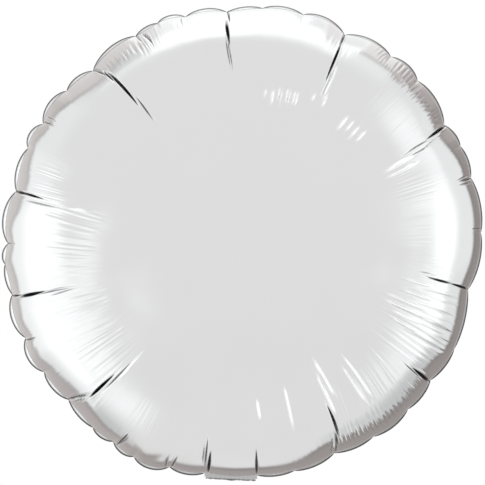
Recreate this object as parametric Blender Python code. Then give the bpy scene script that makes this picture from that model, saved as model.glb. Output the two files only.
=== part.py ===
"""A round foil balloon, blown up, with its filling tail folded back behind it.

Metres, +Z up. The origin is the balloon's centre, on the plane of its rim, and the front
faces -Y. A clock angle is in degrees, clockwise from the top as seen from the front.
Along the tail, a station is the distance from its fold, measured towards its mouth.
"""

import math

import bmesh
import bpy
from mathutils import Matrix, Vector

MM = 0.001

# The two discs as they are cut, 18 inches across, and the band welded round their edge
FLAT_RADIUS = 228.6 * MM
WELD_WIDTH = 5.0 * MM

# Gas draws the edge of two flat discs in to this share of their radius
DRAWN_IN = 4 * math.sqrt(2 * math.pi) / math.gamma(0.25) ** 2
RIM_RADIUS = DRAWN_IN * (FLAT_RADIUS - WELD_WIDTH)

# The film is drawn thicker than life, and pieces that touch keep a gap
FILM = 1.0 * MM
BAND_HALF = 0.5 * MM
GAP = 0.3 * MM

# The outer edge stands out in lobes between pinched notches. A lobe's rise and a notch's
# depth count from a circle this far outside the rim, and a lobe flattens out at this share
# of the rim's radius. The film bulges over the weld, which shows beyond it by so much at a
# notch and at a lobe's middle
OUTLINE_RISE = 4.6 * MM
SHOWN_AT_NOTCH = 0.8 * MM
SHOWN_AT_LOBE = 2.6 * MM
LOBE_REACH = 0.84
LOBE_POWER = 0.6
FADE_POWER = 1.5
COLUMN_ANGLE = 3.3
LEAST_COLUMNS = 3

# Each notch: clock angle, depth in mm, rise in mm of the lobe after it, and the share of
# the rim's radius where its crease dies out
NOTCHES = (
    (5.0, 3.0, 0.7, 0.93),
    (15.0, 2.6, 1.1, 0.90),
    (26.2, 5.9, 1.6, 0.70),
    (38.6, 1.2, 3.3, 0.94),
    (47.2, 0.8, 1.8, 0.94),
    (59.6, 4.4, 1.2, 0.72),
    (74.0, 1.6, 1.8, 0.90),
    (87.5, 0.8, 0.6, 0.94),
    (102.0, 7.0, -1.3, 0.72),
    (116.5, 2.2, -1.3, 0.95),
    (126.0, 5.3, -2.1, 0.75),
    (135.0, 4.1, -0.9, 0.93),
    (145.8, 4.8, -3.3, 0.93),
    (156.2, 8.1, -3.1, 0.74),
    (167.0, 5.0, -3.0, 0.92),
    (176.3, 5.6, -3.0, 0.86),
    (189.2, 5.6, -0.5, 0.86),
    (198.0, 3.8, 3.2, 0.90),
    (206.9, 0.8, 2.0, 0.94),
    (213.0, 2.8, 0.7, 0.90),
    (219.0, 2.2, 0.0, 0.94),
    (228.0, 4.8, -0.2, 0.66),
    (237.0, 3.1, 3.0, 0.92),
    (246.4, 3.0, 2.4, 0.90),
    (258.0, 3.5, 0.4, 0.72),
    (265.0, 1.6, 0.7, 0.94),
    (270.0, 4.6, 1.3, 0.88),
    (283.0, 6.3, -0.2, 0.66),
    (294.0, 4.4, 0.0, 0.92),
    (301.0, 6.1, -0.3, 0.88),
    (311.0, 5.8, -2.7, 0.93),
    (319.0, 9.0, -1.3, 0.60),
    (332.8, 5.3, -1.8, 0.88),
    (339.0, 3.1, -0.2, 0.93),
    (346.0, 5.0, -1.3, 0.90),
    (356.2, 6.1, -2.1, 0.70),
)

# How far the film's face has turned from the rim towards the pole, ring by ring, in
# degrees. Inside the last ring each panel is flat
RING_TURNS = (0.0, 9.0, 19.0, 31.0, 45.0, 59.0, 71.0, 81.0, 88.2)
PROFILE_STEPS = 24

# The filling tail lies between the two notches beside the throat. It hangs from a fold
# just below the rim, and is kept folded back behind the balloon
THROAT_START = 176.3
THROAT_END = 189.2
TAIL_CLOCK = (THROAT_START + THROAT_END) / 2
FOLD_DROP = 172.6 * MM
FOLD_CLEAR = 0.5 * MM
FOLDED_BACK = 95.0
TAIL_START = 1.2 * MM
TAIL_LENGTH = 62.0 * MM
ROOT_HALF = 18.4 * MM
NECK_HALF = 14.5 * MM
TAPER_LENGTH = 16.0 * MM
FLARE_LENGTH = 14.0 * MM
FLARE = 1.5 * MM
STATIONS = 16
SIDE_WELD = 4.0 * MM
WELD_HALF = 1.0 * MM

# The valve is a flat sleeve of clear film between the plies, open at both ends
SLEEVE_START = 7.0 * MM
SLEEVE_END = 60.0 * MM
SLEEVE_HALF = 9.5 * MM
SLEEVE_WALL = 0.3 * MM
CHANNEL_HALF = 0.2 * MM
PLY = 0.6 * MM

SMOOTH_UNDER = math.radians(40)


def clear_scene():
    for thing in list(bpy.data.objects):
        bpy.data.objects.remove(thing, do_unlink=True)


def make_material(name, colour, metallic, roughness, alpha=1.0):
    material = bpy.data.materials.new(name)
    material.use_nodes = True
    shader = material.node_tree.nodes["Principled BSDF"]
    shader.inputs["Base Color"].default_value = (*colour, 1.0)
    shader.inputs["Metallic"].default_value = metallic
    shader.inputs["Roughness"].default_value = roughness
    shader.inputs["Alpha"].default_value = alpha
    return material


def make_object(name, shape, material, parent=None):
    """The bmesh as an object of its own, faces outwards, shaded smooth where it is round."""
    bmesh.ops.recalc_face_normals(shape, faces=shape.faces)
    mesh = bpy.data.meshes.new(name)
    shape.to_mesh(mesh)
    shape.free()
    mesh.shade_smooth()
    mesh.set_sharp_from_angle(angle=SMOOTH_UNDER)
    mesh.materials.append(material)
    thing = bpy.data.objects.new(name, mesh)
    thing.parent = parent
    bpy.context.collection.objects.link(thing)
    return thing


def gas_profile(turn):
    """Radius and height, as shares of the rim's radius, where the face has turned this far."""
    angle = math.radians(turn)
    step = angle / PROFILE_STEPS
    middles = [(index + 0.5) * step for index in range(PROFILE_STEPS)]
    height = sum(math.sqrt(math.cos(middle)) for middle in middles) * step / 2
    return math.sqrt(math.cos(angle)), height


def fade(share, reach):
    """How much of a notch or lobe is left at this share of the rim's radius."""
    return max(0.0, (share - reach) / (1.0 - reach)) ** FADE_POWER


def lobe_at(clock):
    """The notches before and after a clock angle, how far it is along the lobe, and its arch."""
    after = next((i for i, notch in enumerate(NOTCHES) if notch[0] > clock), len(NOTCHES))
    first = NOTCHES[after - 1]
    last = NOTCHES[after % len(NOTCHES)]
    along = ((clock - first[0]) % 360) / ((last[0] - first[0]) % 360)
    return first, last, along, (4 * along * (1 - along)) ** LOBE_POWER


def weld_shown(clock):
    """How far the weld shows beyond the film."""
    arch = lobe_at(clock)[3]
    return SHOWN_AT_NOTCH + (SHOWN_AT_LOBE - SHOWN_AT_NOTCH) * arch


def film_rise(clock, share):
    """How far the film stands out from the plain inflated shape, along its normal."""
    (_, first_depth, lobe, first_reach), (_, last_depth, _, last_reach), along, arch = lobe_at(clock)
    first = first_depth * fade(share, first_reach) * (1 - along)
    last = last_depth * fade(share, last_reach) * along
    crest = (OUTLINE_RISE + lobe * MM * arch - weld_shown(clock)) * fade(share, LOBE_REACH)
    return crest - (first + last) * MM * (1 - arch)


def seam_radius(clock):
    """Radius of the welded seam, where the panels meet the band."""
    return RIM_RADIUS + film_rise(clock, 1.0)


def clock_columns():
    """Clock angles of the film's columns, one on each notch and a few across each lobe."""
    columns = []
    for index, notch in enumerate(NOTCHES):
        start = notch[0]
        width = (NOTCHES[(index + 1) % len(NOTCHES)][0] - start) % 360
        count = max(LEAST_COLUMNS, round(width / COLUMN_ANGLE))
        columns += [(start + width * step / count) % 360 for step in range(count)]
    return sorted(columns)


def on_clock(clock, radius, height):
    angle = math.radians(clock)
    return Vector((radius * math.sin(angle), height, radius * math.cos(angle)))


def film_point(clock, turn, side, inset):
    """A point of a panel: side is -1 in front and 1 behind, inset the depth into the film."""
    share, height = gas_profile(turn)
    angle = math.radians(turn)
    stand = film_rise(clock, share) - inset
    radius = RIM_RADIUS * share + stand * math.cos(angle)
    lift = BAND_HALF + GAP + RIM_RADIUS * height + stand * math.sin(angle)
    return on_clock(clock, radius, side * lift)


def make_panel(name, side, material):
    """One domed disc of film, open at the rim, with a flat round patch at its pole."""
    shape = bmesh.new()
    columns = clock_columns()
    faces_of_film = []
    for inset in (0.0, FILM):
        rings = [
            [shape.verts.new(film_point(clock, turn, side, inset)) for clock in columns]
            for turn in RING_TURNS
        ]
        for outer, inner in zip(rings, rings[1:]):
            join_rings(shape, outer, inner)
        shape.faces.new(rings[-1])
        faces_of_film.append(rings)
    join_rings(shape, faces_of_film[0][0], faces_of_film[1][0])
    return make_object(name, shape, material)


def join_rings(shape, first, second):
    for index, corner in enumerate(first):
        shape.faces.new((corner, first[index - 1], second[index - 1], second[index]))


def make_band(name, clocks, outer_radius, material):
    """A stretch of the flat band at the rim, from the seam out to the given radius."""
    shape = bmesh.new()
    sections = []
    for clock in clocks:
        inner = seam_radius(clock) - FILM - GAP
        corners = (
            (inner, -BAND_HALF),
            (outer_radius(clock), -BAND_HALF),
            (outer_radius(clock), BAND_HALF),
            (inner, BAND_HALF),
        )
        sections.append([shape.verts.new(on_clock(clock, *corner)) for corner in corners])
    for first, second in zip(sections, sections[1:]):
        join_rings(shape, first, second)
    shape.faces.new(sections[0])
    shape.faces.new(sections[-1])
    return make_object(name, shape, material)


def weld_edge(clock):
    return seam_radius(clock) + weld_shown(clock)


def throat_edge(clock):
    return (FOLD_DROP - FOLD_CLEAR) / math.cos(math.radians(clock - TAIL_CLOCK))


def clocks_between(start, end):
    """The columns from one clock angle round to another, trimmed by half a gap at each end."""
    trim = math.degrees(GAP / 2 / RIM_RADIUS)
    span = (end - start) % 360
    inside = [(clock - start) % 360 for clock in clock_columns()]
    inside = sorted(turn for turn in inside if trim < turn < span - trim)
    return [(start + turn) % 360 for turn in [trim, *inside, span - trim]]


def tail_half(station):
    """Half the tail's width: it narrows from its root and flares a little at its mouth."""
    taper = min(1.0, station / TAPER_LENGTH)
    flare = max(0.0, (station - TAIL_LENGTH + FLARE_LENGTH) / FLARE_LENGTH)
    root = (ROOT_HALF - NECK_HALF) * (1 + math.cos(math.pi * taper)) / 2
    return NECK_HALF + root + FLARE * flare**2


def tail_stations():
    step = (TAIL_LENGTH - TAIL_START) / STATIONS
    return [TAIL_START + step * index for index in range(STATIONS + 1)]


def make_strip(name, left, right, low, high, material, parent):
    """A flat piece of the tail, between two edges and two heights over its middle plane."""
    shape = bmesh.new()
    sections = []
    for station in tail_stations():
        corners = (
            (left(station), low),
            (right(station), low),
            (right(station), high),
            (left(station), high),
        )
        sections.append([shape.verts.new((x, y, -station)) for x, y in corners])
    for first, second in zip(sections, sections[1:]):
        join_rings(shape, first, second)
    shape.faces.new(sections[0])
    shape.faces.new(sections[-1])
    return make_object(name, shape, material, parent)


def ply_half(station):
    return tail_half(station) - SIDE_WELD - GAP


def make_sleeve(name, material, parent):
    """The valve: a flattened tube of clear film, with a channel right through it."""
    shape = bmesh.new()
    ends = []
    for station in (SLEEVE_START, SLEEVE_END):
        rings = []
        for wall in (SLEEVE_WALL, 0.0):
            half = SLEEVE_HALF - SLEEVE_WALL + wall
            high = CHANNEL_HALF + wall
            corners = ((-half, -high), (half, -high), (half, high), (-half, high))
            rings.append([shape.verts.new((x, y, -station)) for x, y in corners])
        join_rings(shape, *rings)
        ends.append(rings)
    for first, second in zip(*ends):
        join_rings(shape, first, second)
    return make_object(name, shape, material, parent)


def make_tail(foil, weld, clear_film):
    """The tail on its fold: its own frame has X along the fold and hangs down -Z."""
    hinge = bpy.data.objects.new("tail_fold", None)
    bpy.context.collection.objects.link(hinge)
    round_clock = Matrix.Rotation(math.radians(TAIL_CLOCK - 180), 4, "Y")
    fold_back = Matrix.Rotation(math.radians(FOLDED_BACK), 4, "X")
    drop = Matrix.Translation((0, 0, -FOLD_DROP))
    hinge.matrix_world = round_clock @ drop @ fold_back
    inner = CHANNEL_HALF + SLEEVE_WALL + GAP
    outer = inner + PLY
    for name, low, high in (
        ("tail_front_ply", -outer, -inner),
        ("tail_back_ply", inner, outer),
    ):
        make_strip(name, lambda s: -ply_half(s), ply_half, low, high, foil, hinge)
    for name, side in (("tail_weld_left", -1), ("tail_weld_right", 1)):
        make_strip(
            name,
            lambda s, side=side: side * tail_half(s),
            lambda s, side=side: side * (tail_half(s) - SIDE_WELD),
            -WELD_HALF,
            WELD_HALF,
            weld,
            hinge,
        )
    make_sleeve("valve_sleeve", clear_film, hinge)


def main():
    clear_scene()
    foil = make_material("silver_foil", (0.80, 0.79, 0.79), 1.0, 0.18)
    back_foil = make_material("silver_foil_back", (0.80, 0.79, 0.79), 1.0, 0.20)
    weld = make_material("welded_foil", (0.76, 0.75, 0.75), 1.0, 0.30)
    clear_film = make_material("clear_film", (0.86, 0.88, 0.90), 0.0, 0.25, alpha=0.5)
    make_panel("front_panel", -1, foil)
    make_panel("back_panel", 1, back_foil)
    make_band("rim_weld", clocks_between(THROAT_END, THROAT_START), weld_edge, weld)
    make_band("throat", clocks_between(THROAT_START, THROAT_END), throat_edge, foil)
    make_tail(foil, weld, clear_film)
    bpy.context.view_layer.update()


main()
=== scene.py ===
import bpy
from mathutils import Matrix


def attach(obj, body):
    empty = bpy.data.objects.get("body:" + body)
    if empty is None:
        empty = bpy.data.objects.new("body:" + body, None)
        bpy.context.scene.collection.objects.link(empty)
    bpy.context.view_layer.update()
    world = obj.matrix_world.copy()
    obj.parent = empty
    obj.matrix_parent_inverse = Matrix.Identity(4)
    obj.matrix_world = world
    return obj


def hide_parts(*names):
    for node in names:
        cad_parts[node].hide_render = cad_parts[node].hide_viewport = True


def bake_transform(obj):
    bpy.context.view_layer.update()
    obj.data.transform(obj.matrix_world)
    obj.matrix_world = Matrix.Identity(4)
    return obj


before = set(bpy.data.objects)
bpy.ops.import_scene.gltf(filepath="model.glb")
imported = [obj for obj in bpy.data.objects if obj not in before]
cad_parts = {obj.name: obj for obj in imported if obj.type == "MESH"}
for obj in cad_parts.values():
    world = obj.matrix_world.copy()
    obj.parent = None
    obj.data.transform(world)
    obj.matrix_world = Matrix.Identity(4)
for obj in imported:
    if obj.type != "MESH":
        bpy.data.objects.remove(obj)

"""The looks of a round foil balloon: its blown-up film, its welded edge and its filling tail.

Metres, in the frame of the CAD part: +Z up, the front faces -Y, the origin is the balloon's
centre. A clock angle is in degrees, clockwise from the top as seen from the front. A share
is a radius as a share of the inflated rim's. A turn is how far the film's face has turned
from the rim towards the pole, in degrees: 0 at the rim and 90 at the pole. Along the tail, a
station is the distance from its fold, measured towards its mouth.
"""

import math

import bpy
import numpy as np
from mathutils import Matrix, Vector

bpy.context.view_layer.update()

MM = 0.001

# The film as cut, an 18 inch round with a narrow weld, and the rim that gas draws it in to
FLAT_RADIUS = 228.6 * MM
WELD_WIDTH = 5.0 * MM
DRAWN_IN = 4 * math.sqrt(2 * math.pi) / math.gamma(0.25) ** 2
RIM_RADIUS = DRAWN_IN * (FLAT_RADIUS - WELD_WIDTH)

# The outline's mean circle stands this far outside the rim. The weld leans back, and shows
# beyond the film by the least at a notch and more across a lobe, most on the left
OUTLINE_RISE = 4.6 * MM
SHOWN_LEAST = 0.5 * MM
SHOWN_MORE = 2.1 * MM
SHOWN_SIDE = 0.7 * MM
LOBE_POWER = 0.75

# Each notch: clock angle, depth in mm, rise in mm of the lobe after it, and the share of
# the rim's radius where its crease dies out. A main crease reaches inside MAIN_REACH
NOTCHES = np.array((
    (5.0, 3.0, 0.7, 0.93),
    (15.0, 2.6, 1.1, 0.9),
    (26.2, 5.9, 1.6, 0.6),
    (38.6, 1.2, 3.3, 0.94),
    (47.2, 0.8, 1.8, 0.94),
    (59.6, 4.4, 0.2, 0.66),
    (66.0, 0.9, 1.4, 0.95),
    (74.0, 1.6, 1.8, 0.9),
    (87.5, 0.8, -0.7, 0.94),
    (101.5, 7.0, -2.6, 0.66),
    (116.5, 2.2, -1.3, 0.95),
    (126.0, 5.3, -2.0, 0.66),
    (135.0, 4.1, -1.0, 0.93),
    (145.8, 4.8, -3.7, 0.93),
    (156.2, 8.1, -3.5, 0.64),
    (167.0, 5.0, -3.0, 0.92),
    (176.3, 5.6, -3.0, 0.86),
    (189.2, 5.6, -1.2, 0.86),
    (198.0, 3.8, 3.2, 0.9),
    (206.9, 0.8, 2.0, 0.94),
    (213.0, 2.8, 0.7, 0.9),
    (219.0, 2.2, -0.9, 0.94),
    (228.0, 4.8, -0.2, 0.6),
    (237.0, 3.1, 3.0, 0.92),
    (246.4, 3.0, 2.4, 0.9),
    (257.4, 3.5, 0.1, 0.68),
    (265.0, 1.6, 0.4, 0.94),
    (270.0, 4.6, 0.9, 0.88),
    (283.0, 6.3, -1.2, 0.62),
    (294.0, 4.4, 0.0, 0.92),
    (301.0, 6.1, -0.3, 0.88),
    (311.0, 5.8, -3.5, 0.93),
    (319.2, 9.0, -2.0, 0.56),
    (332.8, 5.3, -1.8, 0.88),
    (339.0, 3.1, -0.2, 0.93),
    (346.0, 5.0, -1.3, 0.9),
    (356.2, 6.1, -2.1, 0.62),
))
MAIN_REACH = 0.82

# The film's swell past the plain inflated shape, its broad wave and the lobes' own dips die out
# at these shares. The broad wave is the outline evened over EVENED degrees to each side
SWELL_REACH = 0.60
BROAD_REACH = 0.86
LOBE_REACH = 0.945
FADE_POWER = 1.3
LOBE_FADE = 2.0
EVENED = 5.0
EVENED_STEPS = 13
EVENED_TAPER = 1.45

# Sharp folds of the front film: clock angle and share at the outer end, the same at the
# inner end, sideways bow in degrees, depth and half width in mm
FRONT_FOLDS = (
    (26.1, 1.0, 26.4, 0.915, 0.0, 4.0, 0.5),
    (26.4, 0.94, 27.4, 0.74, -0.1, 5.0, 0.52),
    (27.6, 0.86, 28.6, 0.68, 0.1, 0.8, 0.48),
    (60.0, 1.0, 60.8, 0.87, -0.2, 5.0, 0.66),
    (61.0, 0.9, 61.6, 0.745, -0.3, 1.8, 0.36),
    (61.0, 0.93, 61.9, 0.745, 1.1, 1.8, 0.36),
    (101.5, 1.0, 100.8, 0.87, 0.0, 5.0, 0.48),
    (100.8, 0.89, 100.0, 0.765, 0.2, 4.5, 0.46),
    (99.9, 0.82, 99.4, 0.72, -0.6, 1.0, 0.36),
    (126.4, 1.0, 126.0, 0.865, 0.1, 5.0, 0.8),
    (127.0, 0.945, 126.4, 0.82, 0.0, 2.0, 0.42),
    (156.1, 1.0, 153.4, 0.86, -0.3, 3.5, 0.66),
    (157.3, 0.975, 154.6, 0.88, -0.3, 1.6, 0.5),
    (153.6, 0.915, 152.2, 0.745, -0.3, 5.0, 0.62),
    (176.4, 1.0, 176.0, 0.84, 0.0, 3.0, 0.5),
    (188.4, 1.0, 188.6, 0.86, 0.0, 4.0, 0.6),
    (189.4, 0.96, 190.0, 0.8, 0.0, 2.4, 0.4),
    (190.2, 0.93, 190.6, 0.84, 0.0, 1.6, 0.36),
    (228.2, 1.0, 224.9, 0.89, 0.3, 3.6, 0.75),
    (226.8, 0.975, 224.3, 0.91, 0.3, 1.4, 0.5),
    (224.7, 0.915, 224.2, 0.74, 0.1, 5.0, 0.66),
    (223.2, 0.84, 223.0, 0.65, 0.0, 1.8, 0.42),
    (257.2, 1.0, 256.7, 0.945, 0.0, 3.5, 0.45),
    (256.5, 0.965, 256.3, 0.825, 0.0, 5.0, 0.7),
    (255.9, 0.88, 255.3, 0.72, 0.3, 1.6, 0.45),
    (254.7, 0.83, 255.1, 0.7, 0.0, 1.2, 0.42),
    (256.3, 0.83, 255.4, 0.7, 0.3, 1.0, 0.42),
    (283.0, 1.0, 282.9, 0.915, 0.0, 5.0, 0.6),
    (283.0, 0.95, 282.5, 0.835, 0.1, 4.5, 0.45),
    (281.4, 0.93, 281.1, 0.745, -0.2, 1.3, 0.45),
    (319.2, 1.0, 321.3, 0.895, 0.0, 4.5, 0.56),
    (321.1, 0.935, 321.9, 0.845, 0.0, 4.0, 0.5),
    (321.6, 0.935, 323.1, 0.69, 0.4, 5.0, 0.66),
    (324.2, 0.76, 324.3, 0.605, 0.0, 1.8, 0.45),
    (356.4, 1.0, 356.8, 0.925, 0.1, 3.5, 0.42),
    (355.9, 0.94, 356.6, 0.815, -0.1, 5.0, 0.66),
    (355.4, 0.86, 356.3, 0.715, 0.0, 1.8, 0.42),
    (355.9, 0.85, 357.1, 0.705, 0.0, 1.8, 0.42),
    (74.2, 1.0, 74.0, 0.94, 0.0, 2.4, 0.55),
    (73.2, 0.99, 73.7, 0.925, 0.0, 1.0, 0.45),
    (75.2, 0.99, 74.8, 0.93, 0.0, 1.0, 0.45),
    (86.4, 1.0, 86.4, 0.96, 0.0, 1.6, 0.45),
    (197.6, 1.0, 196.9, 0.93, 0.0, 2.4, 0.48),
    (198.9, 1.0, 199.3, 0.935, 0.0, 1.8, 0.48),
    (211.8, 1.0, 210.7, 0.91, 0.0, 2.6, 0.6),
    (211.3, 0.985, 210.2, 0.93, 0.0, 2.0, 0.4),
    (245.9, 1.0, 245.4, 0.945, 0.0, 2.4, 0.48),
    (270.0, 1.0, 270.0, 0.96, 0.0, 1.6, 0.45),
    (301.4, 1.0, 302.2, 0.93, 0.0, 2.4, 0.45),
    (303.0, 0.99, 303.4, 0.935, 0.0, 1.4, 0.4),
    (333.0, 1.0, 333.6, 0.945, 0.0, 2.4, 0.48),
    (334.2, 0.99, 335.8, 0.905, 0.5, 3.0, 0.48),
    (344.8, 0.99, 344.6, 0.95, 0.0, 1.2, 0.42),
)
# Rows of small gathers along the seam: clock angles they lie between, pitch in degrees,
# shares at their outer and inner ends, lean in degrees, depth and half width in mm
GATHERS = (
    (35.6, 38.4, 1.0, 1.0, 0.95, -1.2, 0.15, 0.6),
    (41.1, 46.0, 1.13, 1.0, 0.95, 0.0, 0.4, 0.9),
    (48.2, 59.0, 1.5, 0.97, 0.925, -0.6, 0.25, 0.6),
    (104.2, 119.0, 2.3, 0.98, 0.76, -0.2, 0.45, 0.95),
    (127.4, 135.0, 1.3, 0.965, 0.905, -0.5, 0.55, 0.7),
    (135.8, 145.2, 1.3, 0.97, 0.915, -0.4, 0.62, 0.7),
    (146.4, 155.0, 1.2, 0.96, 0.9, -0.6, 0.62, 0.7),
    (322.6, 332.4, 1.35, 0.96, 0.895, 0.5, 0.36, 0.75),
)
GATHER_SEED = 3

# A fold that starts at the seam is pinched there to a part of its depth. Each dies out towards
# its inner end, narrows as it does, and has a low shoulder on either side. Painted shade darkens
# its core, the darker the deeper, up to DARK_DEPTH in mm
PINCHED = 0.25
PINCH_LENGTH = 0.25
OPENING = 0.3
DYING_OUT = 0.55
NARROWEST = 0.5
VALLEY_POWER = 1.3
SHOULDER = 0.10
SHOULDER_PLACE = 2.2
DARK_DEPTH = 3.5
DARK_START = 0.4
DARK_CORE = 0.95

# Fine wrinkles of the front film: clock angles and shares they lie between, wavelength in
# degrees, lean in degrees from the middle to the rim, and height in mm. Each patch fades over
# a part of its width at its sides, and over parts of its reach at its inner and outer ends
FRONT_WRINKLES = (
    (34.0, 60.0, 0.9, 1.02, 1.75, 0.0, 0.05),
    (52.0, 60.0, 0.72, 0.92, 1.3, -8.0, 0.08),
    (62.0, 101.0, 0.64, 0.84, 1.6, 0.0, 0.07),
    (102.0, 126.0, 0.6, 0.97, 2.3, 6.0, 0.24),
    (126.0, 155.0, 0.58, 0.98, 1.55, 14.0, 0.2),
    (205.0, 224.0, 0.72, 0.92, 1.5, 0.0, 0.05),
    (224.0, 257.0, 0.56, 0.86, 2.7, 4.0, 0.27),
    (256.0, 283.0, 0.56, 0.86, 2.5, 12.0, 0.22),
    (282.0, 294.0, 0.76, 0.94, 1.25, 0.0, 0.1),
    (322.0, 336.0, 0.88, 0.99, 1.6, -10.0, 0.09),
    (336.0, 360.0, 0.86, 1.0, 1.2, 0.0, 0.03),
)
WRINKLE_SIDE = 0.12
WRINKLE_INNER = 0.35
WRINKLE_OUTER = 0.25

# Short ridges where a wrinkle dies out, bright from the lights they catch and from a painted
# highlight along their tops: clock angle and share at the outer end, the same at the inner end,
# and width in degrees
GLINTS = (
    (8.7, 0.645, 8.9, 0.61, 0.95),
    (11.3, 0.648, 11.8, 0.595, 1.15),
    (13.5, 0.655, 14.1, 0.607, 0.62),
    (14.5, 0.65, 15.2, 0.602, 0.62),
    (16.4, 0.66, 17.2, 0.612, 0.62),
    (17.5, 0.656, 18.3, 0.606, 0.62),
    (19.2, 0.658, 19.9, 0.616, 0.75),
    (20.3, 0.655, 20.9, 0.618, 0.75),
    (25.3, 0.69, 26.5, 0.657, 1.0),
    (28.2, 0.82, 28.9, 0.69, 0.59),
    (29.3, 0.7, 30.6, 0.655, 0.92),
    (27.6, 0.77, 27.9, 0.7, 0.49),
    (39.6, 0.675, 39.8, 0.62, 1.08),
    (42.2, 0.675, 42.6, 0.63, 0.83),
    (44.8, 0.675, 45.4, 0.625, 0.92),
    (47.5, 0.68, 48.2, 0.632, 0.83),
    (62.5, 0.79, 63.2, 0.665, 1.0),
    (65.0, 0.79, 65.4, 0.665, 0.83),
    (102.9, 0.8, 102.3, 0.69, 0.7),
    (106.7, 0.81, 106.2, 0.7, 0.62),
    (109.9, 0.81, 109.2, 0.635, 0.83),
    (112.0, 0.81, 111.6, 0.635, 0.86),
    (114.3, 0.8, 114.1, 0.68, 0.75),
    (116.7, 0.79, 116.4, 0.7, 0.7),
    (139.9, 0.82, 138.2, 0.625, 0.75),
    (142.3, 0.82, 141.0, 0.66, 0.67),
    (148.9, 0.73, 148.4, 0.565, 1.0),
    (151.5, 0.8, 150.3, 0.62, 0.83),
    (164.6, 0.8, 163.6, 0.62, 0.59),
    (174.0, 0.73, 174.6, 0.65, 0.59),
    (222.0, 0.74, 222.3, 0.62, 0.75),
    (281.6, 0.7, 281.9, 0.665, 0.59),
)
GLINT_HEIGHT = 1.5 * MM
GLINT_ENDS = (-0.1, 0.25)

# The back film has folds, wrinkles and ridges of its own, drawn at random. A notch deeper than
# SHORT_NOTCH, in mm, has a short fold, and WRINKLED is the share of lobes that wrinkle
BACK_SEED = 7
SHORT_NOTCH = 1.5
WRINKLED = 0.6
BACK_GLINTS = 22

# The film's mesh: the turns of its rings, and how many columns a degree of clock angle has
# where the film is plain, wrinkled, gathered, ridged and folded. A fold shallower than
# DEEP_FOLD, in mm, counts as a gather. Columns stay close for FOLD_MARGIN degrees beside one
RING_TURNS = np.array((
    0.0, 1.5, 3.5, 6.0, 9.0, 12.0, 15.0, 18.0, 21.0, 24.0, 27.0, 30.0, 32.5, 35.0,
    37.5, 40.0, 42.5, 45.0, 47.5, 50.0, 52.5, 55.0, 57.2, 59.4, 61.4, 63.2, 65.0, 66.8,
    68.6, 70.4, 72.6, 75.5, 79.0, 83.0, 86.5, 88.8,
))
PLAIN_DENSITY = 3.6
WRINKLE_DENSITY = 6.2
GATHER_DENSITY = 7.5
RIDGE_DENSITY = 9.0
FOLD_DENSITY = 13.0
DEEP_FOLD = 0.75
FOLD_MARGIN = 0.55
CLOCK_SAMPLES = 36001
PROFILE_SAMPLES = 9001

# The film meets the weld in a small round of this radius, on the film's own thickness
FILLET = 0.4 * MM
FILLET_ANGLES = (30.0, 60.0, 90.0)
FILM_HALF = 0.1 * MM

# The weld leans back from the film, and curls by this much from its seam to its edge
WIDTH_AT_NOTCH = 1.0 * MM
WELD_CURL = 26.0
WELD_LEAN_MOST = 84.0
SECTION_STEPS = 33
WELD_ROWS = 9
WELD_COLUMNS = 2400
WELD_RIPPLE = 0.10 * MM
WELD_RIPPLES = 310
UNDER_FILM = 1.2 * MM

# Two painted dark lines run along the weld, a painted dark reflection at its edge and painted
# shade at its seam, with a strip of painted highlight between them. Each has its shade and
# width, and a clock angle where it shows the most
EDGE_SHADE = 0.95
EDGE_LINE = 1.9 * MM
EDGE_SIDE = 0.22
EDGE_WIDEST = 150.0
SEAM_SHADE = 0.45
SEAM_LINE = 0.5 * MM
SEAM_CLOCK = 318.0
SEAM_HALF = 18.0
SEAM_SOFT = 6.0
SEAM_DARKER = 0.4
PAINTED_HIGHLIGHT_STRENGTH = 0.8
PALE_MIDDLE = 300.0
PALE_OUTER = 0.4 * MM
PALE_INNER = 0.3 * MM

# The throat lies between two notches, and its film gathers. The film bends round at the fold,
# and the tail, narrow at its neck, runs on from there with the valve's sleeve in it. A height
# without MM is in mm
THROAT_START = 176.3
THROAT_END = 189.2
# THROAT_SHADE is painted shade over the throat's film and the fold
THROAT_SHADE = 0.35
THROAT_COLUMNS = 90
GATHER_PITCH = 0.5 * MM
GATHER_DRIFT = 5 * MM
GATHER_HEIGHT = 0.20 * MM
# GATHER_SHADE and BEND_SHADE are painted shade on the fold, following its gathers and round its
# bend
GATHER_SHADE = 0.08
BEND_SHADE = 0.5
TAIL_CLOCK = (THROAT_START + THROAT_END) / 2
FOLD_DROP = 172.6 * MM
FOLDED_BACK = 95.0
FOLD_CLEAR = 1.3 * MM
FOLD_LEAD = 2.4 * MM
FOLD_BEND = 1.2 * MM
FOLD_THICKNESS = 0.5 * MM
TAIL_START = 1.2 * MM
TAIL_LENGTH = 62.0 * MM
ROOT_HALF = 18.4 * MM
NECK_HALF = 14.5 * MM
TAPER_LENGTH = 16.0 * MM
FLARE_LENGTH = 14.0 * MM
FLARE = 1.5 * MM
WAVE_HEIGHT = 1.1
WAVE_LENGTH = 13 * MM
TWIST_HEIGHT = 0.9
TWIST_LENGTH = 17 * MM
EDGE_WAVE_HEIGHT = 0.25
EDGE_WAVE_LENGTH = 2.6 * MM
SIDE_WELD = 4.0 * MM
MOUTH_LENGTH = 12 * MM
PLY_PUFF = 0.85
MOUTH_GAPE = 0.9
PLEAT_HEIGHT = 0.22
PLEAT_LENGTH = 9 * MM
DENT_HEIGHT = 0.16
PLY_THICKNESS = 0.12 * MM
SEAM_THICKNESS = 0.3 * MM
SLEEVE_START = 7.0 * MM
SLEEVE_END = 60.0 * MM
SLEEVE_HALF = 9.5 * MM
SLEEVE_SIDES = 96
SLEEVE_RINGS = 60
SLEEVE_THICKNESS = 0.1 * MM

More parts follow.
